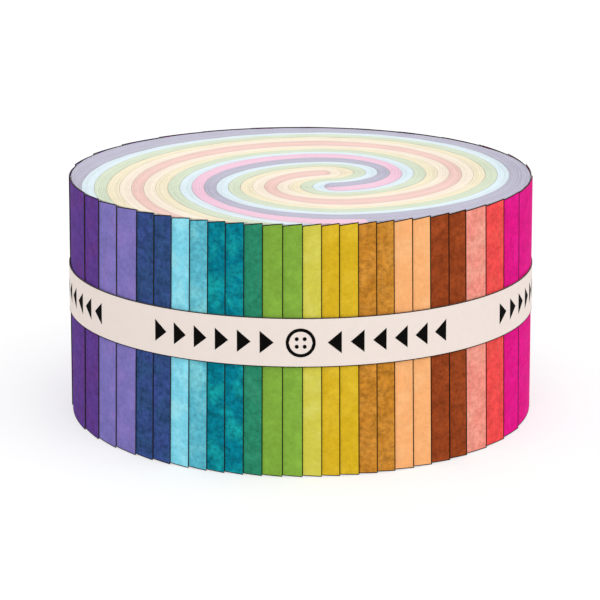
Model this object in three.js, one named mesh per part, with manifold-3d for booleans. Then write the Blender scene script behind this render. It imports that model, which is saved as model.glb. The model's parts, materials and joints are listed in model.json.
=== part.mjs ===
// A roll of pre-cut quilting strips. Forty cotton strips lie in one pile, the pile is folded in half, wound up
// from the fold, and held by a paper band. Every strip's outer end shows on the side, one beside the next.
// Millimetres, +Z up. The roll stands on z = 0 with its axis on Z, and its front faces -Y.
import * as THREE from "three";
import { mergeVertices } from "three/addons/utils/BufferGeometryUtils.js";
import Module from "manifold-3d";

const wasm = await Module();
wasm.setup();

const DEG = Math.PI / 180;

// The roll
const STRIP_WIDTH = 63.5; // a strip is cut 2.5 inches wide, and the roll stands on its cut edges
const ROLL_RADIUS = 61.0; // out to the free edge of a strip end
const CORE_RADIUS = 58.1; // out to the wound pile, inside the strip ends
const GAP = 0.32; // between two pieces of cloth that touch

// The wound pile: eleven colour bands, the same number of plies in each, from one turn's seam to the next
const ARM = 18.8; // from the middle of the pile out to its seam, measured front to back
const BANDS_PER_ARM = 5.5;
const BAND = ARM / BANDS_PER_ARM;
const OVAL = 0.9; // turns lie this much closer side to side than front to back
const WIND_MIDDLE = new THREE.Vector2(7.8, -11.0); // between the fold's end and the seam's end
const WIND_LEAN = 10 * DEG; // how far the line through those two ends leans to the left
const STEPS = 16; // flat steps in each half turn
const SEAM_NOTCH = 4 * DEG; // keeps the two cloths of the seam apart at its inner end

// The strip ends
const CLOTH = 1.0; // thickness of a strip end
const STEP = CLOTH + GAP; // how proud a free edge stands of the strip that it lies on
const TUCK_PART = 0.2; // each end runs on under the strip before it, for this part of that strip's width
const RISE = 0.6; // a free edge stands this much above the tucked edge at the top
const FLAT = 5; // degrees that a strip end bridges in one flat
const FIRST_JOINT = -84.4; // degrees from the front, where the first row of STRIP_ENDS starts

// The paper band
const WRAP_LOW = 28.0;
const WRAP_HEIGHT = 12.3;
const WRAP_THICKNESS = 0.8;
const WRAP_STEPS = 90;
const WRAP_LAP = { from: 130, to: 150 }; // degrees from the front, where its ends lie over each other

// Colour bands of the wound pile. offset counts bands from the middle of the fold, and trim is how far the cut
// edges lie below the top.
const WOUND = [
  { name: "wound_coral", offset: 0, trim: 0.0, colour: 0xfaccc6 },
  { name: "wound_cream", offset: 1, trim: 0.3, colour: 0xfdeee0 },
  { name: "wound_yellow", offset: 2, trim: 0.1, colour: 0xf6ecca },
  { name: "wound_green", offset: 3, trim: 0.4, colour: 0xd8e6cc },
  { name: "wound_blue", offset: 4, trim: 0.2, colour: 0xdef0f8 },
  { name: "wound_lilac", offset: 5, trim: 0.0, colour: 0xc4c0d6 },
  { name: "wound_pink", offset: 5, trim: 0.3, colour: 0xf6c8e0 },
];

// The strip ends from the left, round the front to the right and on round the back. shows is the part of the
// circle, in degrees, that each one leaves bare.
const STRIP_ENDS = [
  { name: "purple_1", shows: 20.0, colour: 0x603f89 },
  { name: "purple_2", shows: 8.0, colour: 0x5d3d81 },
  { name: "lavender_1", shows: 7.7, colour: 0x7a6eb2 },
  { name: "lavender_2", shows: 7.1, colour: 0x7f75b6 },
  { name: "navy_1", shows: 5.4, colour: 0x34507f },
  { name: "navy_2", shows: 5.0, colour: 0x33497a },
  { name: "sky", shows: 4.9, colour: 0x81d2e4 },
  { name: "aqua", shows: 4.6, colour: 0x5fb6c7 },
  { name: "teal_1", shows: 4.3, colour: 0x0c8797 },
  { name: "teal_2", shows: 4.4, colour: 0x087b8f },
  { name: "jade", shows: 4.3, colour: 0x2e8667 },
  { name: "lime_1", shows: 4.6, colour: 0x81ab41 },
  { name: "lime_2", shows: 4.5, colour: 0x7fa93e },
  { name: "citron", shows: 4.3, colour: 0xd3cc54 },
  { name: "gold_1", shows: 4.1, colour: 0xd6af26 },
  { name: "gold_2", shows: 4.4, colour: 0xd8b427 },
  { name: "amber_1", shows: 4.3, colour: 0xc07f2d },
  { name: "amber_2", shows: 4.3, colour: 0xc78431 },
  { name: "peach_1", shows: 4.7, colour: 0xfab67a },
  { name: "peach_2", shows: 4.8, colour: 0xf9b477 },
  { name: "brown_1", shows: 5.3, colour: 0x974521 },
  { name: "brown_2", shows: 5.3, colour: 0x8e401f },
  { name: "salmon", shows: 7.2, colour: 0xf59587 },
  { name: "poppy", shows: 7.8, colour: 0xef4d4c },
  { name: "magenta_1", shows: 8.8, colour: 0xdc1986 },
  { name: "magenta_2", shows: 18.8, colour: 0xe11c88 },
  { name: "raspberry_1", shows: 13.65, colour: 0xb91a6b },
  { name: "raspberry_2", shows: 13.65, colour: 0xad1a63 },
  { name: "wine_1", shows: 13.65, colour: 0x8f1e50 },
  { name: "wine_2", shows: 13.65, colour: 0x861c4c },
  { name: "plum_1", shows: 13.65, colour: 0x712559 },
  { name: "plum_2", shows: 13.65, colour: 0x6b2355 },
  { name: "mulberry_1", shows: 13.65, colour: 0x85316f },
  { name: "mulberry_2", shows: 13.65, colour: 0x7f2e6a },
  { name: "orchid_1", shows: 13.65, colour: 0xa04c9a },
  { name: "orchid_2", shows: 13.65, colour: 0x9a4895 },
  { name: "heather_1", shows: 13.65, colour: 0x8a5ca9 },
  { name: "heather_2", shows: 13.65, colour: 0x8558a4 },
  { name: "violet_1", shows: 13.65, colour: 0x6d4797 },
  { name: "violet_2", shows: 13.65, colour: 0x684392 },
];

// Solids

function manifoldOf(geometry) {
  const bare = geometry.clone();
  bare.deleteAttribute("normal");
  bare.deleteAttribute("uv");
  const merged = mergeVertices(bare, 1e-4);
  return new wasm.Manifold(
    new wasm.Mesh({
      numProp: 3,
      vertProperties: new Float32Array(merged.attributes.position.array),
      triVerts: new Uint32Array(merged.index.array),
    }),
  );
}

function geometryOf(solid) {
  const mesh = solid.getMesh();
  const geometry = new THREE.BufferGeometry();
  geometry.setAttribute("position", new THREE.BufferAttribute(mesh.vertProperties, 3));
  geometry.setIndex(new THREE.BufferAttribute(mesh.triVerts, 1));
  geometry.computeVertexNormals();
  return geometry;
}

function prism(points, height) {
  return new THREE.ExtrudeGeometry(new THREE.Shape(points), { depth: height, bevelEnabled: false });
}

function piece(name, geometry, colour, roughness = 0.9) {
  const material = new THREE.MeshStandardMaterial({ color: colour, roughness, metalness: 0, flatShading: true });
  const mesh = new THREE.Mesh(geometry, material);
  mesh.name = name;
  return mesh;
}

// The wound pile. Every turn is a half ellipse about the fold's end on the right, then one about the seam's end
// on the left, and a band stays the same width all the way.

const along = new THREE.Vector2(-Math.sin(WIND_LEAN), Math.cos(WIND_LEAN));
const across = new THREE.Vector2(Math.cos(WIND_LEAN), Math.sin(WIND_LEAN));
const SIDES = {
  right: { centre: WIND_MIDDLE.clone().addScaledVector(along, ARM / 2), out: across },
  left: { centre: WIND_MIDDLE.clone().addScaledVector(along, -ARM / 2), out: across.clone().negate() },
};

// One arc about a side's centre. Its radius is counted in bands, and its angles run from 0 at the back, round
// that side, to 180 degrees at the front.
function arc(side, bands, from = 0, to = Math.PI) {
  const { centre, out } = SIDES[side];
  const radius = bands * BAND;
  return Array.from({ length: STEPS + 1 }, (_, i) => {
    const angle = from + ((to - from) * i) / STEPS;
    return centre
      .clone()
      .addScaledVector(along, radius * Math.cos(angle))
      .addScaledVector(out, OVAL * radius * Math.sin(angle));
  });
}

const towardsFront = (side, bands) => arc(side, bands);
const towardsBack = (side, bands) => arc(side, bands, Math.PI, 0);

// Joins arcs end to end, and drops the point that two neighbours share.
function chain(...arcs) {
  const points = [];
  for (const point of arcs.flat()) {
    const last = points.at(-1);
    if (!last || last.distanceTo(point) > 1e-6) points.push(point);
  }
  return points;
}

// The line that stays a number of bands away from the fold's middle ply, in along one side of it, round its end
// and out along the other side.
function lineAroundFold(bands) {
  return chain(
    towardsBack("left", 3 * BANDS_PER_ARM + bands),
    towardsFront("right", 2 * BANDS_PER_ARM + bands),
    towardsBack("left", BANDS_PER_ARM + bands),
    towardsFront("right", bands),
    towardsFront("left", BANDS_PER_ARM - bands),
    towardsBack("right", 2 * BANDS_PER_ARM - bands),
    towardsFront("left", 3 * BANDS_PER_ARM - bands),
  );
}

const inset = GAP / 2 / BAND / OVAL; // half a gap, counted in bands

function bandOutline(offset) {
  const outer = lineAroundFold(offset + 0.5 - inset);
  if (offset === 0) return outer;
  return [...lineAroundFold(offset - 0.5 + inset), ...outer.reverse()];
}

// The seam is where one turn's last cloth lies on the next turn's first. The lilac cloth is on its inner side
// and goes on round the outside of the roll.
function lilacOutline() {
  const beyondRim = 24;
  return chain(
    arc("left", 1 - inset, Math.PI / 2 - SEAM_NOTCH, 0),
    towardsBack("right", BANDS_PER_ARM - 1 + inset),
    towardsFront("left", 2 * BANDS_PER_ARM - 1 + inset),
    towardsBack("right", 3 * BANDS_PER_ARM - 1 + inset),
    towardsFront("left", 4 * BANDS_PER_ARM - 1 + inset),
    towardsBack("left", beyondRim),
    towardsFront("right", beyondRim),
    towardsBack("left", 2 * BANDS_PER_ARM - inset),
    towardsFront("right", BANDS_PER_ARM - inset),
  );
}

function pinkOutline() {
  return chain(
    arc("left", 1 - inset, Math.PI / 2 + SEAM_NOTCH, Math.PI),
    towardsBack("right", BANDS_PER_ARM + 1 - inset),
    towardsFront("left", 2 * BANDS_PER_ARM + 1 - inset),
    towardsBack("left", 2 * BANDS_PER_ARM + inset),
    towardsFront("right", BANDS_PER_ARM + inset),
  );
}

const OUTLINES = { wound_lilac: lilacOutline, wound_pink: pinkOutline };

function woundPile() {
  const group = new THREE.Group();
  const disc = new THREE.CylinderGeometry(CORE_RADIUS, CORE_RADIUS, 3 * STRIP_WIDTH, 96);
  const rim = manifoldOf(disc.rotateX(Math.PI / 2));
  for (const { name, offset, trim, colour } of WOUND) {
    const outline = OUTLINES[name] ? OUTLINES[name]() : bandOutline(offset);
    const band = manifoldOf(prism(outline, STRIP_WIDTH - trim)).intersect(rim);
    group.add(piece(name, geometryOf(band), colour));
  }
  return group;
}

// A point of the plan, by its angle in degrees from the front towards the right, and its distance from the axis.
function polar(degrees, radius) {
  return new THREE.Vector2(radius * Math.sin(degrees * DEG), -radius * Math.cos(degrees * DEG));
}

// One face of a strip end, from its joint round to its free edge, which stands a step further out. depth is
// measured in from the outer face.
function faceLine({ start, shows }, depth) {
  const flats = Math.ceil(shows / FLAT);
  return Array.from({ length: flats + 1 }, (_, i) => {
    const part = i / flats;
    return polar(start + shows * part, ROLL_RADIUS - depth - STEP * (1 - part));
  });
}

// A strip end lies on the next one at its free edge. Its root runs on under the strip before it, parallel to
// that strip's inner face.
function stripEnd(end, before) {
  const outer = faceLine(end, 0);
  const inner = faceLine(end, CLOTH);
  const [beforeLast, last] = faceLine(before, CLOTH).slice(-2);
  const tuck = TUCK_PART * before.shows * DEG * ROLL_RADIUS;
  const underBefore = beforeLast.clone().sub(last).setLength(tuck);
  const root = [inner[0].clone().add(underBefore), outer[0].clone().add(underBefore)];
  const geometry = prism([...root, ...outer, ...inner.reverse()], STRIP_WIDTH);
  const at = geometry.attributes.position;
  for (let i = 0; i < at.count; i++) {
    const degrees = Math.atan2(at.getX(i), -at.getY(i)) / DEG;
    const past = THREE.MathUtils.euclideanModulo(degrees - end.start + 180, 360) - 180;
    const part = THREE.MathUtils.clamp(past / end.shows, 0, 1);
    if (at.getZ(i) > 0) at.setZ(i, STRIP_WIDTH - RISE * (1 - part));
  }
  return geometry;
}

function stripEnds() {
  const group = new THREE.Group();
  const ends = [];
  let start = FIRST_JOINT;
  for (const row of STRIP_ENDS) {
    ends.push({ ...row, start });
    start += row.shows;
  }
  ends.forEach((end, i) => {
    group.add(piece("strip_" + end.name, stripEnd(end, ends.at(i - 1)), end.colour));
  });
  return group;
}

// The paper band is one long piece bent round the roll, its ends glued over each other at the back.
function wrapBand() {
  const inner = [];
  const outer = [];
  for (let i = 0; i < WRAP_STEPS; i++) {
    const degrees = (i * 360) / WRAP_STEPS;
    const plies = degrees >= WRAP_LAP.from && degrees <= WRAP_LAP.to ? 2 : 1;
    inner.push(polar(degrees, ROLL_RADIUS + GAP));
    outer.push(polar(degrees, ROLL_RADIUS + GAP + plies * WRAP_THICKNESS));
  }
  const ring = new THREE.Shape(outer);
  ring.holes.push(new THREE.Path(inner));
  const geometry = new THREE.ExtrudeGeometry(ring, { depth: WRAP_HEIGHT, bevelEnabled: false });
  const band = piece("wrap_band", geometry, 0xeee1d9, 0.8);
  band.position.z = WRAP_LOW;
  return band;
}

const roll = new THREE.Group();
roll.add(woundPile(), stripEnds(), wrapBand());

export default roll;
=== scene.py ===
import json
import math

import bpy
import numpy as np
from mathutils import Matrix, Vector


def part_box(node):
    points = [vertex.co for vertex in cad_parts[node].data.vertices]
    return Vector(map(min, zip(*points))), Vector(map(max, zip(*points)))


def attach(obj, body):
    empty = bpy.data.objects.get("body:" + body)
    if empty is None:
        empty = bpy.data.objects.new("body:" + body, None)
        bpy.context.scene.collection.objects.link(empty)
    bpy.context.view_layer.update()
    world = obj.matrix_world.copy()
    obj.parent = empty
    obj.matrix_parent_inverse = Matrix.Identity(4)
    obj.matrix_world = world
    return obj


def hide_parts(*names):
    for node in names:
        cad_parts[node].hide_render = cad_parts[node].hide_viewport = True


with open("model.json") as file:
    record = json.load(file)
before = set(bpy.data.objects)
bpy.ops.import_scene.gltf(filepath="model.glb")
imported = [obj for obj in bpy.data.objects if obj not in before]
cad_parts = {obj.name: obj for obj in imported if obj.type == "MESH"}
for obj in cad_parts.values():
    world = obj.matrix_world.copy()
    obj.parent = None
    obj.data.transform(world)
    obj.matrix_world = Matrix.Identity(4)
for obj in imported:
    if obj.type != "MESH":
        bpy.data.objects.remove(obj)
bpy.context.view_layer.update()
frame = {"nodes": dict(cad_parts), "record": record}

MM = 0.001
SEED = 40
TINY = 1e-9

# Sizes that the frame gives


def radii(node):
    """A node's points, and how far each lies from the roll's axis."""
    points = np.array([v.co for v in frame["nodes"][node].data.vertices])
    return points, np.hypot(points[:, 0], points[:, 1])


def free_angle(node):
    """Degrees from the front towards the right at which a strip end's free edge lies."""
    points, reach = radii(node)
    tip = points[np.argmax(reach)]
    return math.degrees(math.atan2(tip[0], -tip[1]))


END_NODES = sorted((n for n in frame["nodes"] if n.startswith("strip_")), key=free_angle)
FREE_RADIUS = radii(END_NODES[0])[1].max()
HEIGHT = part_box(END_NODES[0])[1].z
BAND_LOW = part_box("wrap_band")[0].z
BAND_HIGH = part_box("wrap_band")[1].z

# The wound pile. Every turn is a half ellipse about the fold's end on the right, then one about the seam's
# end on the left, an ARM apart. Distances from the middle of the fold are counted in colour bands.
ARM = 18.8 * MM
BANDS_PER_ARM = 5.5
BAND = ARM / BANDS_PER_ARM
OVAL = {"right": 0.93, "left": 0.9}
WIND_MIDDLE = np.array([7.8, -11.0]) * MM
WIND_LEAN = math.radians(10)
SEAM_NOTCH = math.radians(1.5)

# The gaps between plies, and where one colour meets the next. A ply has a point about every PLY_STEP and
# FEWEST_STEPS or more to a half turn, and a stretch of fewer points than SHORTEST_RUN is left out. A
# chamfer rounds each cut edge, and takes no more than CHAMFER_SHARE of a ply's width.
PLY_GAP = 0.014 * MM
BAND_GAP = 0.03 * MM
PLY_STEP = 1.3 * MM
FEWEST_STEPS = 12
SHORTEST_RUN = 4
PLY_CHAMFER = 0.09 * MM
CHAMFER_SHARE = 0.3

# The cut edges aren't level. The top of a ply lies a trim below the strips' height and its foot lies a
# little above the floor. Both vary from ply to ply by PLY_UNEVEN, and along a ply in waves. A wave is given
# as the length over which it goes on by one radian, and its height as a share of PLY_WAVE.
PLY_TRIM = 0.22 * MM
PLY_FOOT = 0.04 * MM
PLY_UNEVEN = 0.08 * MM
PLY_WAVE = 0.02 * MM
TOP_WAVES = [(5 * MM, 1.0), (2.1 * MM, 1.0)]
FOOT_WAVES = [(4.3 * MM, 1.0), (2.6 * MM, 1.0)]

# The roll isn't packed evenly. Its turns cross the line of the fold wider apart behind the fold than
# before it, and a ply at one of these distances from the middle lies so many bands further out there than
# at the sides.
EVEN_CROSSING = [-24, -16.5, -11, 0, 11, 16.5, 24]
CROSSING = [-24, -15.8, -10.2, 0, 11.6, 18, 26]
PACKED_AT = [0, 0.5, 1.5, 2.5, 3.5, 4.5, 5.5]
PACKED_SHIFT = [0, 0.45, 0.2, -0.28, -0.2, -0.5, 0]

# Forty plies lie between the middle of the fold and the seam, one for each strip. reach is how far out a
# band goes, in bands, and pale is the colour of its cut edges.
BANDS = [
    {"name": "coral", "plies": 4, "reach": 0.5, "pale": "f6d5cc"},
    {"name": "cream", "plies": 7, "reach": 1.5, "pale": "fff1e0"},
    {"name": "yellow", "plies": 7, "reach": 2.5, "pale": "f8eed3"},
    {"name": "green", "plies": 7, "reach": 3.5, "pale": "e1ead4"},
    {"name": "blue", "plies": 7, "reach": 4.5, "pale": "e5f2f8"},
    {"name": "lilac", "plies": 8, "reach": 5.5, "pale": "c5c3d3"},
]
PINK = "f8d2e4"
OUTER_LILAC_PLIES = 16

# Where two colours meet, a darker line is painted as shade in the gap between them. LINE_ON_FLAT is how
# much of it goes on across the flat of a cut edge, and PLY_TONE is how far the tone of the cut edges varies
# from ply to ply.
SEAM_SHADE_COLOUR = "8d8272"
SEAM_STRENGTH = 0.35
LINE_ON_FLAT = 0.3
PLY_TONE = 0.5

# How much broader the roll is at its foot than at its top, as a share of its width
FOOT_SPREAD = 0.014

# The cloth ends. Each is CLOTH thick and lies on the next one round, a LAYER further out, and it goes on by
# a TUCK or more beneath the one before it.
CLOTH = 0.23 * MM
LAYER = 0.26 * MM
SHORTEST_END = 10.4 * MM
TUCK = 1.6 * MM
RIM_CLEARANCE = 0.06 * MM

# From its joint to its free edge, an end's foot goes down by FOOT_RISE and its top goes up by TOP_RISE in
# front, and by less and less towards the back
TOP_RISE = 0.62 * MM
FOOT_RISE = 0.24 * MM

# A free edge stands off by LIFT. The lift reaches back by LIFT_REACH, or by LIFT_SHARE of what shows where
# that is less, and it varies up the edge in waves about LIFT_MEAN of its height.
LIFT = 0.05 * MM
LIFT_REACH = 2.2 * MM
LIFT_SHARE = 0.5
LIFT_MEAN = 0.92
LIFT_WAVE = 0.05
LIFT_WAVES = [(9 * MM, 1.0), (4 * MM, 0.6)]
LAID_RADIUS = FREE_RADIUS - LIFT

# Points up an end and along it. The even columns keep COLUMN_CLEARANCE from those that end its lines of
# painted shade.
ROWS = 30
COLUMN_STEP = 1.4 * MM
FEWEST_COLUMNS = 8
COLUMN_CLEARANCE = 0.2 * MM

# Widths of the lines of painted shade along an end's free edge and its joint: in front, how much wider or
# thinner they are on the right and on the left, and their least width at the sides and on the back.
# CUT_LINE, painted shade too, runs along its cut.
FREE_LINE = 0.09 * MM
FREE_LINE_RIGHT = 0.38 * MM
FREE_LINE_LEFT = 0.1 * MM
JOINT_LINE = 0.1 * MM
JOINT_LINE_LEFT = 0.09 * MM
SIDE_LINE = 0.1 * MM
CUT_LINE = 0.19 * MM
LINE_FADE = 0.05 * MM
# The near-black colour of these lines of painted shade
PAINTED_SHADE_COLOUR = "120e0c"

# An end's cut edge where it shows has its face's colour times the factor below, almost black as painted
# shade of the joints, and TUCKED_COLOUR beneath the others. Its tone varies by END_TONE from end to end,
# and its print by up to PRINT_SHIFT in units of uv.
CUT_PAINTED_SHADE = 0.04
TUCKED_COLOUR = "c8c3da"
END_TONE = 0.3
PRINT_SHIFT = 50

# The joints between the ends lean a little, away from the front towards the foot. FAN is how far those at
# the sides turn over the whole height, in radians, and at FAN_LEVEL, a share of the height, each is in its
# place.
FAN = 0.03
FAN_LEVEL = 0.67

# Each cloth's printed face, the colour that its print drifts to, how strongly it is clouded, and how many
# millimetres across its clouds are
CLOTHS = [
    {"slot": "purple", "face": "5e3c8e", "drift": "663a88", "mottle": 0.20, "cloud": 3.4},
    {"slot": "lavender", "face": "7e75ba", "drift": "8c7ac2", "mottle": 0.12, "cloud": 3.4},
    {"slot": "navy", "face": "304c7a", "drift": "3b4d8e", "mottle": 0.34, "cloud": 2.6},
    {"slot": "sky", "face": "7fd5e9", "drift": "9ce5f3", "mottle": 0.13, "cloud": 2.2},
    {"slot": "aqua", "face": "5ab6c9", "drift": "7ed0da", "mottle": 0.22, "cloud": 1.4},
    {"slot": "teal", "face": "03788c", "drift": "149c9f", "mottle": 0.36, "cloud": 2.0},
    {"slot": "jade", "face": "2a8666", "drift": "37906f", "mottle": 0.22, "cloud": 2.6},
    {"slot": "lime", "face": "7fa93e", "drift": "88b543", "mottle": 0.10, "cloud": 3.0},
    {"slot": "citron", "face": "d1c94b", "drift": "dad565", "mottle": 0.06, "cloud": 2.2},
    {"slot": "gold", "face": "d6b022", "drift": "dfbb30", "mottle": 0.09, "cloud": 2.0},
    {"slot": "amber", "face": "bf7e29", "drift": "cc8c38", "mottle": 0.29, "cloud": 2.2},
    {"slot": "peach", "face": "f8b174", "drift": "f9bb81", "mottle": 0.07, "cloud": 3.0},
    {"slot": "brown", "face": "8e3f1c", "drift": "9d4822", "mottle": 0.28, "cloud": 2.6},
    {"slot": "salmon", "face": "f29081", "drift": "f49f8d", "mottle": 0.22, "cloud": 2.4},
    {"slot": "poppy", "face": "ec4b4b", "drift": "ef574f", "mottle": 0.20, "cloud": 2.8},
    {"slot": "magenta", "face": "de1084", "drift": "e51b8f", "mottle": 0.16, "cloud": 3.0},
    {"slot": "raspberry", "face": "b31a67", "drift": "bd2a74", "mottle": 0.09, "cloud": 4.0},
    {"slot": "wine", "face": "8b1d4e", "drift": "98305e", "mottle": 0.10, "cloud": 4.0},
    {"slot": "plum", "face": "6e2457", "drift": "7c3064", "mottle": 0.12, "cloud": 4.0},
    {"slot": "mulberry", "face": "822f6c", "drift": "903c7a", "mottle": 0.12, "cloud": 4.0},
    {"slot": "orchid", "face": "9d4a97", "drift": "a95aa4", "mottle": 0.10, "cloud": 4.0},
    {"slot": "heather", "face": "885aa7", "drift": "946ab2", "mottle": 0.10, "cloud": 4.0},
    {"slot": "violet", "face": "6b4595", "drift": "7650a0", "mottle": 0.10, "cloud": 4.0},
]

# The paper band presses the ends' free edges flat by PAPER_CINCH of their lift, and less and less over
# CINCH_FADE above and below it. In degrees, it starts at PAPER_START from the front towards the right, goes
# once round and on over its own start by PAPER_LAP, and moves out over LAP_RAMP before that.
PAPER = 0.2 * MM
PAPER_CLEARANCE = 0.03 * MM
PAPER_CINCH = 0.7
CINCH_FADE = 6 * MM
PAPER_INSIDE = LAID_RADIUS + (1 - PAPER_CINCH) * LIFT + PAPER_CLEARANCE
PAPER_OUTSIDE = PAPER_INSIDE + PAPER
PAPER_START = 130
PAPER_LAP = 20
LAP_RAMP = 14
PAPER_STEP = 1
PAPER_COLOUR = "eee1d9"
PAPER_CUT_COLOUR = "6f665e"

# The print on it: a border along both edges, which keeps BORDER_STOP degrees from the paper's outer end,
# and between them REPEATS buttons with rows of triangles
INK = 0.02 * MM
INK_CLEARANCE = INK / 4
INK_COLOUR = "0a0908"
BORDER = 0.2 * MM
BORDER_STOP = 0.2
BORDER_POINTS = 360
REPEATS = 4
BUTTON = {"radius": 3.6 * MM, "rim": 0.8 * MM, "hole": 0.48 * MM, "hole_apart": 1.9 * MM}
BUTTON_POINTS = 25
GEESE = {"count": 6, "pitch": 5.6 * MM, "first": 8.2 * MM, "width": 3.4 * MM, "height": 5.6 * MM}
GOOSE_POINTS = 6
THINNEST = 0.02 * MM

# Shapes and meshes

SHARP_ANGLE = math.radians(50)


def polar(degrees, radius):
    """Plan points by their angle from the front towards the right and their distance from the axis."""
    angle = np.radians(degrees)
    return np.stack([radius * np.sin(angle), -radius * np.cos(angle)], axis=-1)


def waves(kinds, at, phases):
    """Some waves added up, at places along a ply or up an end."""
    return sum(share * np.sin(at / length + phase) for (length, share), phase in zip(kinds, phases))


def smooth(t):
    """A step from 0 to 1 with a soft start and end."""
    t = np.clip(t, 0, 1)
    return t * t * (3 - 2 * t)


def stood(points):
    """The points of a piece of the roll, with the roll a little broader towards its foot."""
    points = np.array(points, float)
    points[:, :2] *= 1 + FOOT_SPREAD * (1 - points[:, 2:] / HEIGHT)
    return points


def new_mesh(name, points, faces, uv=None, values=None, materials=(), face_material=None):
    """A smooth mesh object. uv and values hold one entry for each point."""
    mesh = bpy.data.meshes.new(name)
    mesh.from_pydata([tuple(p) for p in points], [], [tuple(int(i) for i in f) for f in faces])
    for material in materials:
        mesh.materials.append(material)
    if face_material is not None:
        mesh.polygons.foreach_set("material_index", np.asarray(face_material, np.int32))
    loops = np.zeros(len(mesh.loops), np.int32)
    mesh.loops.foreach_get("vertex_index", loops)
    if uv is not None:
        layer = mesh.uv_layers.new(name="cloth")
        layer.data.foreach_set("uv", np.asarray(uv, np.float32)[loops].ravel())
    for key, value in (values or {}).items():
        attribute = mesh.attributes.new(key, "FLOAT", "POINT")
        attribute.data.foreach_set("value", np.asarray(value, np.float32))
    mesh.shade_smooth()
    mesh.set_sharp_from_angle(angle=SHARP_ANGLE)
    mesh.update()
    piece = bpy.data.objects.new(name, mesh)
    bpy.context.scene.collection.objects.link(piece)
    return piece


# Materials. The scale of a noise counts its cells, to a unit of uv on the cotton's faces, with UV_PER_METRE
# units to a metre, and to a metre elsewhere.

UV_PER_METRE = 100
CLOTH_ROUGHNESS = 0.9
CLOTH_SPECULAR = 0.05

# Threads of a plain weave
THREAD = 0.42 * MM
WEAVE_DEPTH = 0.014 * MM

# The cotton's print is light and dark by large clouds and finer ones, and its colour drifts with a slower
# noise taken from another place. CLOUD_SCALE is for clouds a millimetre across.
CLOUD_SCALE = 10
CLOUD_NOISE = {"detail": 6.0, "roughness": 0.7}
CLOUD_SHARE = 0.55
FINE_NOISE = {"scale": 9.0, "detail": 4.0, "roughness": 0.65}
FINE_SHARE = 0.45
TONE_RANGE = (0.4, 0.6)
DRIFT_NOISE = {"scale": 1.6, "detail": 2.0, "roughness": 0.55}
DRIFT_PLACE = (3.7, 9.1, 2.0)
DRIFT_RANGE = (0.45, 0.7)

# Cut edges show the ends of single threads, and faint clouds
END_NOISE = {"scale": 1.1 / THREAD, "detail": 2.0, "roughness": 0.6}
EDGE_NOISE = {"scale": 130.0, "detail": 3.0, "roughness": 0.5}
EDGE_RANGE = (0.3, 0.7)
EDGE_CONTRAST = 0.05
EDGE_DEPTH = 0.05 * MM

# Paper and ink
PULP_NOISE = {"scale": 420.0, "detail": 5.0, "roughness": 0.6}
PULP_RANGE = (0.3, 0.7)
PULP_CONTRAST = 0.015
FIBRE_NOISE = {"scale": 2600.0, "detail": 3.0, "roughness": 0.6}
FIBRE_DEPTH = 0.006 * MM
PAPER_ROUGHNESS = 0.75
PAPER_SPECULAR = 0.2
PAPER_CUT_ROUGHNESS = 0.9
INK_ROUGHNESS = 0.9
INK_SPECULAR = 0.05


def linear(hex_colour):
    """A colour written as six hex digits, as linear red, green, blue and alpha."""
    channels = [int(hex_colour[i : i + 2], 16) / 255 for i in (0, 2, 4)]
    return [c / 12.92 if c <= 0.04045 else ((c + 0.055) / 1.055) ** 2.4 for c in channels] + [1.0]


def scaled(colour, factor):
    """A linear colour, made lighter or darker."""
    return [min(1.0, c * factor) for c in colour[:3]] + [1.0]


class Nodes:
    """A material's node tree, with a short way to add a node, set its inputs and link it."""

    def __init__(self, name):
        self.material = bpy.data.materials.new(name)
        self.material.use_nodes = True
        self.tree = self.material.node_tree
        self.shader = self.tree.nodes["Principled BSDF"]

    def put(self, socket, value):
        """Gives an input another node's output or a plain value."""
        if isinstance(value, bpy.types.NodeSocket):
            self.tree.links.new(value, socket)
        else:
            socket.default_value = value

    def add(self, kind, inputs=None, **settings):
        node = self.tree.nodes.new(kind)
        for key, value in settings.items():
            setattr(node, key, value)
        for key, value in (inputs or {}).items():
            self.put(node.inputs[key], value)
        return node

    def math(self, operation, first, second=0.0):
        return self.add("ShaderNodeMath", {0: first, 1: second}, operation=operation).outputs[0]

    def mix(self, factor, a, b):
        """Colour a, turned to colour b by factor. The node's colour inputs are numbers 6 and 7."""
        return self.add("ShaderNodeMix", {0: factor, 6: a, 7: b}, data_type="RGBA").outputs[2]

    def noise(self, vector, scale, detail, roughness):
        inputs = {"Vector": vector, "Scale": scale, "Detail": detail, "Roughness": roughness}
        return self.add("ShaderNodeTexNoise", inputs).outputs["Fac"]

    def spread(self, value, low, high):
        """value, stretched so that low becomes 0 and high becomes 1."""
        inputs = {"Value": value, "From Min": low, "From Max": high}
        return self.add("ShaderNodeMapRange", inputs).outputs["Result"]

    def attribute(self, name):
        return self.add("ShaderNodeAttribute", attribute_name=name).outputs["Fac"]

    def place(self):
        """The place on the piece, in metres."""
        return self.add("ShaderNodeTexCoord").outputs["Object"]

    def finish(self, colour, height, depth, roughness=CLOTH_ROUGHNESS, specular=CLOTH_SPECULAR):
        """The finished material, with a bump of height times depth."""
        bump = self.add("ShaderNodeBump", {"Height": height, "Distance": depth, "Strength": 1.0})
        self.put(self.shader.inputs["Base Color"], colour)
        self.put(self.shader.inputs["Normal"], bump.outputs["Normal"])
        self.put(self.shader.inputs["Roughness"], roughness)
        self.put(self.shader.inputs["Specular IOR Level"], specular)
        return self.material


def weave(nodes, uv):
    """Height of a plain weave: threads that pass over and under each other in turn."""
    axes = nodes.add("ShaderNodeSeparateXYZ", {0: uv})
    turn = math.pi / (THREAD * UV_PER_METRE)
    across = nodes.math("SINE", nodes.math("MULTIPLY", axes.outputs[0], turn))
    up = nodes.math("SINE", nodes.math("MULTIPLY", axes.outputs[1], turn))
    return nodes.math("MULTIPLY", across, up)


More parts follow.
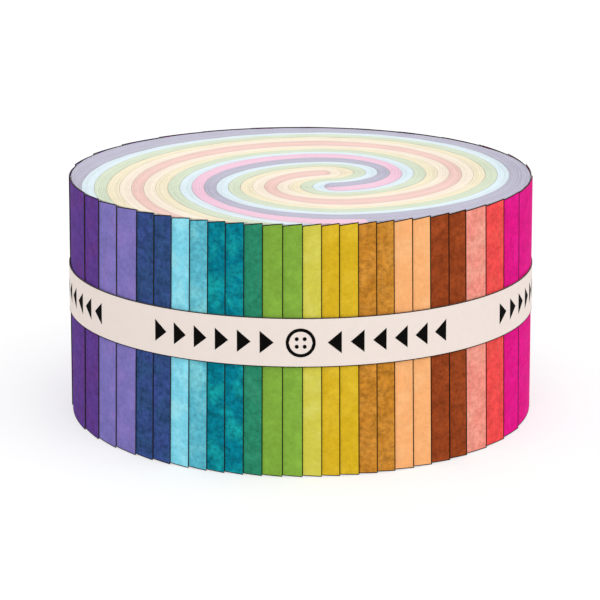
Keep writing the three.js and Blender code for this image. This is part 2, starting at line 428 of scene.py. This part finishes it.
def printed_cotton(cloth):
    """Woven cotton with a clouded tonal print, and thin painted shade lines at its joint and free edge."""
    nodes = Nodes("cotton_" + cloth["slot"])
    uv = nodes.add("ShaderNodeUVMap", uv_map="cloth").outputs[0]
    face = linear(cloth["face"])
    drifted = linear(cloth["drift"])
    darker = 1 - cloth["mottle"]
    lighter = 1 + cloth["mottle"]
    clouds = nodes.noise(uv, CLOUD_SCALE / cloth["cloud"], **CLOUD_NOISE)
    fine = nodes.noise(uv, **FINE_NOISE)
    clouds = nodes.math("MULTIPLY", clouds, CLOUD_SHARE)
    fine = nodes.math("MULTIPLY", fine, FINE_SHARE)
    tone = nodes.spread(nodes.math("ADD", clouds, fine), *TONE_RANGE)
    elsewhere = nodes.add("ShaderNodeMapping", {0: uv, 1: DRIFT_PLACE}).outputs[0]
    drift = nodes.spread(nodes.noise(elsewhere, **DRIFT_NOISE), *DRIFT_RANGE)
    dark = nodes.mix(drift, scaled(face, darker), scaled(drifted, darker))
    light = nodes.mix(drift, scaled(face, lighter), scaled(drifted, lighter))
    printed = nodes.mix(tone, dark, light)
    # Painted shade: where the line attribute is set, the print turns to a near-black colour
    with_painted_shade = nodes.mix(nodes.attribute("line"), printed, linear(PAINTED_SHADE_COLOUR))
    return nodes.finish(with_painted_shade, weave(nodes, uv), WEAVE_DEPTH)


def cut_edge(name, colour):
    """The cut edge of woven cotton: thread ends, a little lighter or darker from ply to ply."""
    nodes = Nodes(name)
    place = nodes.place()
    threads = nodes.noise(place, **END_NOISE)
    clouds = nodes.noise(place, **EDGE_NOISE)
    both = nodes.math("ADD", nodes.math("MULTIPLY", threads, 0.5), nodes.math("MULTIPLY", clouds, 0.5))
    tone = nodes.math("ADD", nodes.spread(both, *EDGE_RANGE), nodes.attribute("tone"))
    shaded = nodes.mix(tone, scaled(colour, 1 - EDGE_CONTRAST), scaled(colour, 1 + EDGE_CONTRAST))
    # Painted shade: a darker colour goes on where the line attribute is set, between plies of two colours
    # and along the ends' lines
    seam = nodes.math("MULTIPLY", nodes.attribute("line"), SEAM_STRENGTH)
    with_painted_shade = nodes.mix(seam, shaded, linear(SEAM_SHADE_COLOUR))
    return nodes.finish(with_painted_shade, threads, EDGE_DEPTH)


def paper(name, colour, roughness, specular=PAPER_SPECULAR):
    """Plain paper or the ink on it, faintly clouded by its pulp and uneven with its fibres."""
    nodes = Nodes(name)
    place = nodes.place()
    pulp = nodes.spread(nodes.noise(place, **PULP_NOISE), *PULP_RANGE)
    fibres = nodes.noise(place, **FIBRE_NOISE)
    shaded = nodes.mix(pulp, scaled(colour, 1 - PULP_CONTRAST), scaled(colour, 1 + PULP_CONTRAST))
    return nodes.finish(shaded, fibres, FIBRE_DEPTH, roughness, specular)


# The plies of the wound pile

ALONG = np.array([-math.sin(WIND_LEAN), math.cos(WIND_LEAN)])
ACROSS = np.array([math.cos(WIND_LEAN), math.sin(WIND_LEAN)])
FOLD_END = WIND_MIDDLE + ALONG * ARM / 2
OUTWARDS = {"right": ACROSS, "left": -ACROSS}

# The half turns that a ply makes, in along one side of the fold, round its end and out along the other
# side. base is its radius at the middle of the fold, in bands, and side_of_fold says which way distances
# count.
HALF_TURNS = [
    {"side": "left", "base": 3 * BANDS_PER_ARM, "side_of_fold": 1, "to_front": False},
    {"side": "right", "base": 2 * BANDS_PER_ARM, "side_of_fold": 1, "to_front": True},
    {"side": "left", "base": BANDS_PER_ARM, "side_of_fold": 1, "to_front": False},
    {"side": "right", "base": 0, "side_of_fold": 1, "to_front": True},
    {"side": "left", "base": BANDS_PER_ARM, "side_of_fold": -1, "to_front": True},
    {"side": "right", "base": 2 * BANDS_PER_ARM, "side_of_fold": -1, "to_front": False},
    {"side": "left", "base": 3 * BANDS_PER_ARM, "side_of_fold": -1, "to_front": True},
]
SEAM_TURN = 4


def on_fold_line(place, distance, grows):
    """Where a ply crosses the line of the fold, in bands from the fold's end and back.

    place is where it would cross in an even winding, and grows is 1 where plies further from the middle
    lie further back, or -1.
    """
    even = np.interp(place, EVEN_CROSSING, CROSSING)
    return even + grows * np.interp(distance, PACKED_AT, PACKED_SHIFT)


def half_turn(turn, distance, angles):
    """Plan points on one half turn, at a distance from the middle of the fold that is counted in bands."""
    radius = turn["base"] + turn["side_of_fold"] * distance
    centre = 0 if turn["side"] == "right" else -BANDS_PER_ARM
    back = on_fold_line(centre + radius, distance, turn["side_of_fold"])
    front = on_fold_line(centre - radius, distance, -turn["side_of_fold"])
    ahead = (back + front) / 2 + (back - front) / 2 * np.cos(angles)
    aside = OVAL[turn["side"]] * radius * np.sin(angles)
    return FOLD_END + BAND * (np.outer(ahead, ALONG) + np.outer(aside, OUTWARDS[turn["side"]]))


def ply_edges(low, high, turns, start=0.0, stop=math.pi):
    """Both edges of a ply, as plan points side by side.

    start and stop cut the first and the last half turn.
    """
    near, far = [], []
    for i, turn in enumerate(turns):
        radius = (turn["base"] + turn["side_of_fold"] * (low + high) / 2) * BAND
        steps = max(FEWEST_STEPS, math.ceil(math.pi * radius / PLY_STEP))
        first = start if i == 0 else 0.0
        last = stop if i == len(turns) - 1 else math.pi
        angles = np.linspace(first, last, steps + 1)
        if not turn["to_front"]:
            angles = math.pi - angles
        skip = 0 if i == 0 else 1
        near.append(half_turn(turn, low, angles)[skip:])
        far.append(half_turn(turn, high, angles)[skip:])
    return np.concatenate(near), np.concatenate(far)


def held_inside(points):
    """Plan points, with those beyond the rim of the pile brought in to it. Also says which were inside."""
    reach = np.hypot(points[:, 0], points[:, 1])
    angle = np.degrees(np.arctan2(points[:, 0], -points[:, 1]))
    rim = rim_radius(angle)
    factor = np.minimum(1.0, rim / np.maximum(reach, TINY))
    return points * factor[:, None], reach < rim


def runs(inside):
    """First and last index of each stretch that is inside, with one point more at each end."""
    marks = np.flatnonzero(np.diff(np.concatenate([[0], inside.astype(int), [0]])))
    for first, after in marks.reshape(-1, 2):
        yield max(0, first - 1), min(len(inside), after + 1)


class Plies:
    """Collects the plies of one colour band as one mesh."""

    def __init__(self):
        self.points, self.faces, self.uv, self.tone, self.line = [], [], [], [], []
        self.count = 0
        self.length = 0.0

    def add(self, near, far, borders, rng):
        """One ply, an upright ribbon between its two edges, its cut edges a little rounded and uneven.

        borders says whether its near and its far edge lie against another colour.
        """
        tone = rng.uniform(-PLY_TONE, PLY_TONE)
        trim = PLY_TRIM + rng.uniform(0, PLY_UNEVEN)
        foot = PLY_FOOT + rng.uniform(0, PLY_UNEVEN)
        phases = rng.uniform(0, math.tau, len(TOP_WAVES + FOOT_WAVES))
        near, near_inside = held_inside(near)
        far, far_inside = held_inside(far)
        for first, last in runs(near_inside | far_inside):
            if last - first >= SHORTEST_RUN:
                self.add_run(near[first:last], far[first:last], borders, tone, trim, foot, phases)

    def add_run(self, near, far, borders, tone, trim, foot, phases):
        """One stretch of a ply, with eight points round its section and a cap at each end."""
        middle = (near + far) / 2
        lengths = np.hypot(*np.diff(middle, axis=0).T)
        at = np.concatenate([[0], np.cumsum(lengths)])
        top = HEIGHT - trim + PLY_WAVE * waves(TOP_WAVES, at, phases[: len(TOP_WAVES)])
        bottom = foot + PLY_WAVE * waves(FOOT_WAVES, at, phases[len(TOP_WAVES) :])
        width = np.hypot(*(far - near).T)
        chamfer = np.minimum(PLY_CHAMFER, CHAMFER_SHARE * width)
        inset = chamfer / np.maximum(width, TINY)
        near_in = near + (far - near) * inset[:, None]
        far_in = far - (far - near) * inset[:, None]
        near_line, far_line = [float(side) for side in borders]
        section = [
            (near_in, bottom, LINE_ON_FLAT * near_line),
            (far_in, bottom, LINE_ON_FLAT * far_line),
            (far, bottom + chamfer, far_line),
            (far, top - chamfer, far_line),
            (far_in, top, LINE_ON_FLAT * far_line),
            (near_in, top, LINE_ON_FLAT * near_line),
            (near, top - chamfer, near_line),
            (near, bottom + chamfer, near_line),
        ]
        n, m = len(at), len(section)
        points = np.stack([np.column_stack([plan, z]) for plan, z, _ in section], axis=1)
        base = self.count + np.arange(n - 1)[:, None] * m
        k = np.arange(m)[None, :]
        after = (k + 1) % m
        quads = np.stack([base + k, base + after, base + m + after, base + m + k], axis=-1)
        start_cap = self.count + np.arange(m)[::-1]
        end_cap = self.count + (n - 1) * m + np.arange(m)
        self.points.append(points.reshape(-1, 3))
        self.faces += [tuple(q) for q in quads.reshape(-1, 4)] + [tuple(start_cap), tuple(end_cap)]
        self.uv.append(np.stack([np.repeat(at, m), points[:, :, 2].ravel()], axis=1) * UV_PER_METRE)
        self.tone.append(np.full(n * m, tone))
        self.line.append(np.tile([line for _, _, line in section], n))
        self.count += n * m
        self.length += at[-1]

    def build(self, name, material):
        return new_mesh(
            name,
            stood(np.concatenate(self.points)),
            self.faces,
            np.concatenate(self.uv),
            {"tone": np.concatenate(self.tone), "line": np.concatenate(self.line)},
            [material],
        )


def ply_limits():
    """Each ply's band, its two edges with the gaps taken off, and which of them lie against another colour.

    The edges are counted in bands from the middle of the fold.
    """
    low = 0.0
    for band in BANDS:
        pitch = (band["reach"] - low) / band["plies"]
        for i in range(band["plies"]):
            first = i == 0 and low > 0
            last = i == band["plies"] - 1
            below = BAND_GAP / 2 if first else PLY_GAP / 2
            above = BAND_GAP / 2 if last else PLY_GAP / 2
            near = low + i * pitch + below / BAND
            far = low + (i + 1) * pitch - above / BAND
            yield band["name"], near, far, (first, last)
        low = band["reach"]


def build_plies():
    """The plies of each colour. The lilac ones go on as pink ones after the seam."""
    rng = np.random.default_rng(SEED)
    plies = {band["name"]: Plies() for band in BANDS}
    plies["pink"] = Plies()
    notch = math.pi / 2 - SEAM_NOTCH
    for name, low, high, borders in ply_limits():
        if name == "lilac":
            before_seam = ply_edges(low, high, HALF_TURNS[: SEAM_TURN + 1], stop=notch)
            after_seam = ply_edges(low, high, HALF_TURNS[SEAM_TURN:], start=math.pi - notch)
            plies["lilac"].add(*before_seam, borders, rng)
            plies["pink"].add(*after_seam, borders, rng)
        else:
            plies[name].add(*ply_edges(low, high, HALF_TURNS), borders, rng)
    pitch = 1 / BANDS[-1]["plies"]
    for i in range(OUTER_LILAC_PLIES):
        low = BANDS_PER_ARM + i * pitch + PLY_GAP / 2 / BAND
        high = low + pitch - PLY_GAP / BAND
        plies["lilac"].add(*ply_edges(low, high, HALF_TURNS[:2]), (False, False), rng)
    pales = {band["name"]: band["pale"] for band in BANDS}
    pales["pink"] = PINK
    for name, bundle in plies.items():
        material = cut_edge("cut_edge_" + name, linear(pales[name]))
        piece = bundle.build("plies_" + name, material)
        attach(piece, "root")
        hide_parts("wound_" + name)


# The cloth ends. Every end lies on the next one round, a layer further out, and goes on beneath the ones
# before it. layer_index counts the layers round the roll, so the end with index j has its free edge where
# it reaches j.

FREE_ANGLES = np.array([free_angle(node) for node in END_NODES])
COUNT = len(END_NODES)


def layer_index(degrees):
    """Where an angle falls in the order of the free edges, as a number that goes on round the roll."""
    knots = np.concatenate([FREE_ANGLES + 360 * turn for turn in (-2, -1, 0, 1, 2)])
    index = np.arange(-2 * COUNT, 3 * COUNT)
    return np.interp(degrees, knots, index)


def shown_width(j):
    """Length along the side that an end leaves bare."""
    before = FREE_ANGLES[j - 1] - (360 if j == 0 else 0)
    return math.radians(FREE_ANGLES[j] - before) * FREE_RADIUS


def end_length(j):
    return max(SHORTEST_END, shown_width(j) + TUCK)


def laid_radius(j, degrees):
    """Outer face of an end where it lies flat, by its depth in layers."""
    return LAID_RADIUS - LAYER * (j - layer_index(degrees))


def deepest(degrees):
    """Inner face of the deepest end at an angle."""
    lowest = np.full(np.shape(degrees), LAID_RADIUS - CLOTH)
    for j in range(COUNT):
        for turn in (-1, 0, 1):
            free = FREE_ANGLES[j] + 360 * turn
            reach = math.degrees(end_length(j) / FREE_RADIUS)
            covered = (degrees <= free) & (degrees >= free - reach)
            depth = laid_radius(j + turn * COUNT, degrees) - CLOTH
            lowest = np.where(covered, np.minimum(lowest, depth), lowest)
    return lowest


RIM_ANGLES = np.arange(-180, 181, 1.0)
RIM_SMOOTHING = 7
RIM_SHIFTS = range(-RIM_SMOOTHING, RIM_SMOOTHING + 1)
RIM = np.min([deepest(RIM_ANGLES + shift) for shift in RIM_SHIFTS], axis=0) - RIM_CLEARANCE


def rim_radius(degrees):
    """How far out the wound pile reaches at an angle, just inside the cloth ends."""
    return np.interp(degrees, RIM_ANGLES, RIM)


def cinched(z):
    """How much of its lift a free edge keeps at a height. The paper band presses it flat."""
    outside = np.maximum(BAND_LOW - z, z - BAND_HIGH)
    return 1 - PAPER_CINCH * smooth(1 - outside / CINCH_FADE)


def painted_shade_widths(middle):
    """Widths of the painted shade lines along an end's free edge and its joint, by the angle of its middle.

    The free edges on the left show their thickness, and those on the right hide it.
    """
    right = max(0.0, math.sin(middle))
    left = max(0.0, -math.sin(middle))
    at_least = SIDE_LINE * min(1.0, (1 - math.cos(middle)) ** 2)
    at_free = FREE_LINE + FREE_LINE_RIGHT * right - FREE_LINE_LEFT * left
    at_joint = JOINT_LINE - JOINT_LINE_LEFT * left
    return max(at_least, at_free), max(at_least, at_joint)


def fanned(points):
    """The points of a cloth end, with its lean."""
    angle = np.arctan2(points[:, 0], -points[:, 1])
    turned = angle + FAN * np.sin(angle) * (FAN_LEVEL - points[:, 2] / HEIGHT)
    plan = polar(np.degrees(turned), np.hypot(points[:, 0], points[:, 1]))
    return np.column_stack([plan, points[:, 2]])


def end_columns(shown, length, at_free, at_joint):
    """Distances from the free edge at which a cloth end has points."""
    exact = [0, at_free, at_free + LINE_FADE, shown - at_joint - LINE_FADE, shown - at_joint, shown]
    steps = np.linspace(0, length, max(FEWEST_COLUMNS, math.ceil(length / COLUMN_STEP)) + 1)
    from_exact = np.abs(steps[:, None] - np.array(exact)[None, :]).min(axis=1)
    return np.sort(np.concatenate([exact, steps[from_exact > COLUMN_CLEARANCE]]))


def end_rows():
    """Heights at which a cloth end has points, as shares of its own."""
    by_cut = np.array([0, CUT_LINE, CUT_LINE + LINE_FADE]) / HEIGHT
    return np.concatenate([by_cut, np.linspace(0, 1, ROWS + 1)[1:-1], 1 - by_cut[::-1]])


# The materials of a cloth end, by their place in its mesh
FACE, EDGE, TUCKED = 0, 1, 2


def end_faces(columns, row_count, shown):
    """Faces of a thin sheet, whose outer points come before its inner ones, and the material of each."""
    n, m = len(columns), row_count
    inside = n * m
    root = (n - 1) * m
    faces, kinds = [], []

    def add(quad, kind):
        faces.append(quad)
        kinds.append(kind)

    for i in range(n - 1):
        for k in range(m - 1):
            a, b, c, d = i * m + k, i * m + k + 1, (i + 1) * m + k + 1, (i + 1) * m + k
            add((a, b, c, d), FACE)
            add((inside + a, inside + d, inside + c, inside + b), FACE)
        kind = TUCKED if columns[i] >= shown - TINY else EDGE
        foot, after_foot = i * m, (i + 1) * m
        head, after_head = i * m + m - 1, (i + 1) * m + m - 1
        add((foot, after_foot, inside + after_foot, inside + foot), kind)
        add((head, inside + head, inside + after_head, after_head), kind)
    for k in range(m - 1):
        add((k, inside + k, inside + k + 1, k + 1), EDGE)
        add((root + k, root + k + 1, inside + root + k + 1, inside + root + k), TUCKED)
    return faces, kinds


def build_end(j, materials, rng):
    """One cloth end, a thin sheet from its free edge back under the ends before it."""
    shown, length = shown_width(j), end_length(j)
    middle = math.radians(FREE_ANGLES[j]) - shown / 2 / FREE_RADIUS
    at_free, at_joint = painted_shade_widths(middle)
    columns = end_columns(shown, length, at_free, at_joint)
    rows = end_rows()
    n, m = len(columns), len(rows)

    # A third phase is drawn and left unused
    phases = rng.uniform(0, math.tau, 3)[:2]
    shift = rng.uniform(0, PRINT_SHIFT, 2)
    tone = rng.uniform(-END_TONE, END_TONE)

    part = np.minimum(columns / shown, 1)
    front = (1 + math.cos(middle)) / 2
    low = FOOT_RISE * part
    high = HEIGHT - TOP_RISE * front * part
    z = low[:, None] + (high - low)[:, None] * rows[None, :]
    reach = min(LIFT_REACH, LIFT_SHARE * shown)
    uneven = LIFT_MEAN + LIFT_WAVE * waves(LIFT_WAVES, z, phases)
    lift = LIFT * (1 - smooth(columns / reach))[:, None] * cinched(z) * uneven
    degrees = FREE_ANGLES[j] - np.degrees(columns / FREE_RADIUS)
    outer_radius = laid_radius(j, degrees)[:, None] + lift
    outer = np.dstack([polar(degrees[:, None], outer_radius), z]).reshape(-1, 3)
    inner = np.dstack([polar(degrees[:, None], outer_radius - CLOTH), z]).reshape(-1, 3)

    # Painted shade: the outer face darkens along the free edge, the joint and both cuts, the inner face
    # along both cuts
    by_free = columns < at_free + LINE_FADE / 2
    by_joint = columns > shown - at_joint - LINE_FADE / 2
    by_cut = np.minimum(rows, 1 - rows) * HEIGHT < CUT_LINE + LINE_FADE / 2
    painted_shade_outside = (by_free | by_joint)[:, None] | by_cut[None, :]
    painted_shade_inside = np.tile(by_cut, n)
    line = np.concatenate([painted_shade_outside.ravel(), painted_shade_inside]).astype(float)
    uv = np.stack([np.repeat(-columns, m), z.ravel()], axis=1) * UV_PER_METRE + shift
    faces, kinds = end_faces(columns, m, shown)
    piece = new_mesh(
        END_NODES[j].replace("strip_", "cloth_"),
        stood(fanned(np.concatenate([outer, inner]))),
        faces,
        np.concatenate([uv, uv]),
        {"line": line, "tone": np.full(len(line), tone)},
        materials,
        kinds,
    )
    return piece, length


def build_ends():
    """The cloth ends, each in its own node's colour."""
    rng = np.random.default_rng(SEED + 1)
    slots = {s["node"]: s["material_slot"] for s in frame["record"]["subparts"]}
    tucked = cut_edge("cut_edge_tucked", linear(TUCKED_COLOUR))
    materials = {}
    for cloth in CLOTHS:
        # The shown cut edges are nearly black: painted shade of the joints
        edge = cut_edge("cut_" + cloth["slot"], scaled(linear(cloth["face"]), CUT_PAINTED_SHADE))
        materials[cloth["slot"]] = [printed_cotton(cloth), edge, tucked]
    for j, node in enumerate(END_NODES):
        slot = slots[node]
        piece, length = build_end(j, materials[slot], rng)
        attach(piece, "root")
        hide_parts(node)


# The paper band and its print


def paper_inside(turned):
    """Inner radius of the paper after it has turned so many degrees. Its last part lies on its first."""
    ramp = smooth((turned - (360 - LAP_RAMP)) / LAP_RAMP)
    return PAPER_INSIDE + (PAPER + PAPER_CLEARANCE) * ramp


def box_sweep(turned, low, high, inner, outer):
    """Points and faces of a thin solid bent round the roll. Its four limits may change with turned."""
    sides = [(inner, low), (outer, low), (outer, high), (inner, high)]
    plan = [polar(PAPER_START + turned, radius) for radius, _ in sides]
    points = np.stack([np.column_stack([p, z]) for p, (_, z) in zip(plan, sides)], axis=1)
    m = len(sides)
    last = (len(turned) - 1) * m
    faces = []
    for here in range(0, last, m):
        there = here + m
        for k in range(m):
            after = (k + 1) % m
            faces.append((here + k, there + k, there + after, here + after))
    faces.append(tuple(range(m)))
    faces.append(tuple(last + k for k in reversed(range(m))))
    return points.reshape(-1, 3), faces


def build_paper():
    """The paper band, paler on its two sides than along its cuts."""
    turned = np.arange(0, 360 + PAPER_LAP + PAPER_STEP / 2, PAPER_STEP)
    inner = paper_inside(turned)
    low = np.full(len(turned), BAND_LOW)
    high = np.full(len(turned), BAND_HIGH)
    points, faces = box_sweep(turned, low, high, inner, inner + PAPER)
    sides = paper("cream_paper", linear(PAPER_COLOUR), PAPER_ROUGHNESS)
    cuts = paper("paper_cut", linear(PAPER_CUT_COLOUR), PAPER_CUT_ROUGHNESS)
    kinds = [1, 0, 1, 0] * (len(turned) - 1) + [1, 1]
    piece = new_mesh("paper_band", stood(points), faces, materials=[sides, cuts], face_material=kinds)
    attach(piece, "root")
    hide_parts("wrap_band")


class Print:
    """Collects the ink on the paper band. Places are in metres along the band and up from its middle."""

    def __init__(self):
        self.points, self.faces = [], []
        self.count = 0

    def add(self, at, low, high):
        """A patch of ink between two heights, which may change with its places along the band."""
        turned = np.degrees(at / PAPER_OUTSIDE) - PAPER_START
        turned = np.where(turned < PAPER_LAP, turned + 360, turned)
        inner = paper_inside(turned) + PAPER + INK_CLEARANCE
        middle = (BAND_LOW + BAND_HIGH) / 2
        points, faces = box_sweep(turned, middle + low, middle + high, inner, inner + INK)
        self.points.append(points)
        self.faces += [tuple(i + self.count for i in face) for face in faces]
        self.count += len(points)


def add_disc(ink, centre, radius, hole=0.0):
    """A printed disc, or a ring where it has a hole, as an upper and a lower half."""
    along_band, up = centre
    steps = radius * np.cos(np.linspace(math.pi, 0, BUTTON_POINTS))
    rim = np.sqrt(np.maximum(radius**2 - steps**2, 0)) + THINNEST
    inner = np.sqrt(np.maximum(hole**2 - steps**2, 0))
    ink.add(along_band + steps, up + inner, up + rim)
    ink.add(along_band + steps, up - rim, up - inner)


def add_triangle(ink, base, tip, height):
    """A printed triangle that points along the band."""
    along_band = np.linspace(base, tip, GOOSE_POINTS)
    half = np.linspace(height / 2, THINNEST, GOOSE_POINTS)
    if tip < base:
        along_band, half = along_band[::-1], half[::-1]
    ink.add(along_band, -half, half)


def build_print():
    """A line along both edges of the band, and between them rows of triangles that meet at buttons."""
    ink = Print()
    for repeat in range(REPEATS):
        centre = (repeat - 1) * math.tau / REPEATS * PAPER_OUTSIDE
        add_disc(ink, (centre, 0), BUTTON["radius"], BUTTON["radius"] - BUTTON["rim"])
        for side in (-1, 1):
            for up in (-1, 1):
                hole = (centre + side * BUTTON["hole_apart"] / 2, up * BUTTON["hole_apart"] / 2)
                add_disc(ink, hole, BUTTON["hole"])
            for i in range(GEESE["count"]):
                tip = centre + side * (GEESE["first"] - GEESE["width"] / 2 + i * GEESE["pitch"])
                add_triangle(ink, tip + side * GEESE["width"], tip, GEESE["height"])
    half = (BAND_HIGH - BAND_LOW) / 2
    start = math.radians(PAPER_START + PAPER_LAP - 360 + BORDER_STOP) * PAPER_OUTSIDE
    stop = math.radians(PAPER_START + PAPER_LAP - BORDER_STOP) * PAPER_OUTSIDE
    around = np.linspace(start, stop, BORDER_POINTS)
    for side in (-1, 1):
        low, high = sorted([side * half, side * (half - BORDER)])
        ink.add(around, np.full(len(around), low), np.full(len(around), high))
    material = paper("black_ink", linear(INK_COLOUR), INK_ROUGHNESS, INK_SPECULAR)
    piece = new_mesh("band_print", stood(np.concatenate(ink.points)), ink.faces, materials=[material])
    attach(piece, "root")


# Camera, floor and light. The camera's place and lens were fitted to the two rims in the photo.

CAMERA_PLACE = (0.0, -0.5713, 0.1847)
CAMERA_DOWN = 15.34
CAMERA_YAW = 0.019
SENSOR = 36.0
PHOTO_WIDTH = 600
FOCAL_PIXELS = 2206.6
NEAREST_SEEN = 0.01
FARTHEST_SEEN = 50

WHITE = (1, 1, 1, 1)
FLOOR_REACH = 8.0
FLOOR_DEPTH = 0.0001
FLOOR_COLOUR = "bcbcbc"
FLOOR_ROUGHNESS = 0.9
FLOOR_SPECULAR = 0.1
FLOOR_GLOW = 0.53

# The sun's azimuth counts from the front towards the right, and its angles are in degrees
SUN = {"azimuth": 32, "elevation": 65, "breadth": 70, "power": 1.15}
SURROUNDINGS_POWER = 0.7


def build_camera():
    data = bpy.data.cameras.new("camera")
    data.sensor_width = SENSOR
    data.lens = FOCAL_PIXELS / PHOTO_WIDTH * SENSOR
    data.clip_start = NEAREST_SEEN
    data.clip_end = FARTHEST_SEEN
    camera = bpy.data.objects.new("camera", data)
    camera.location = CAMERA_PLACE
    camera.rotation_euler = (math.radians(90 - CAMERA_DOWN), 0, math.radians(CAMERA_YAW))
    bpy.context.scene.collection.objects.link(camera)
    bpy.context.scene.camera = camera


def pale_floor():
    """A pale table that is lit from below as well, like the ones that goods are photographed on."""
    nodes = Nodes("pale_floor")
    inputs = nodes.shader.inputs
    inputs["Base Color"].default_value = linear(FLOOR_COLOUR)
    inputs["Roughness"].default_value = FLOOR_ROUGHNESS
    inputs["Specular IOR Level"].default_value = FLOOR_SPECULAR
    inputs["Emission Color"].default_value = WHITE
    inputs["Emission Strength"].default_value = FLOOR_GLOW
    return nodes.material


def build_floor():
    plan = [(-1, -1), (1, -1), (1, 1), (-1, 1)]
    corners = [(x * FLOOR_REACH, y * FLOOR_REACH, -FLOOR_DEPTH) for x, y in plan]
    floor = new_mesh("floor", corners, [(0, 1, 2, 3)], materials=[pale_floor()])


def build_sun():
    """A broad, even light."""
    data = bpy.data.lights.new("key", "SUN")
    data.energy = SUN["power"]
    data.angle = math.radians(SUN["breadth"])
    light = bpy.data.objects.new("key", data)
    elevation = math.radians(SUN["elevation"])
    plan = polar(SUN["azimuth"], math.cos(elevation))
    place = Vector((plan[0], plan[1], math.sin(elevation)))
    light.location = place
    light.rotation_euler = (-place).to_track_quat("-Z", "Y").to_euler()
    bpy.context.scene.collection.objects.link(light)


def build_surroundings():
    """Even white light from all round, shown without a film look."""
    world = bpy.data.worlds.new("white_surroundings")
    world.use_nodes = True
    background = world.node_tree.nodes["Background"]
    background.inputs["Color"].default_value = WHITE
    background.inputs["Strength"].default_value = SURROUNDINGS_POWER
    bpy.context.scene.world = world
    bpy.context.scene.view_settings.view_transform = "Standard"


build_camera()
build_floor()
build_surroundings()
build_sun()
build_plies()
build_ends()
build_paper()
build_print()
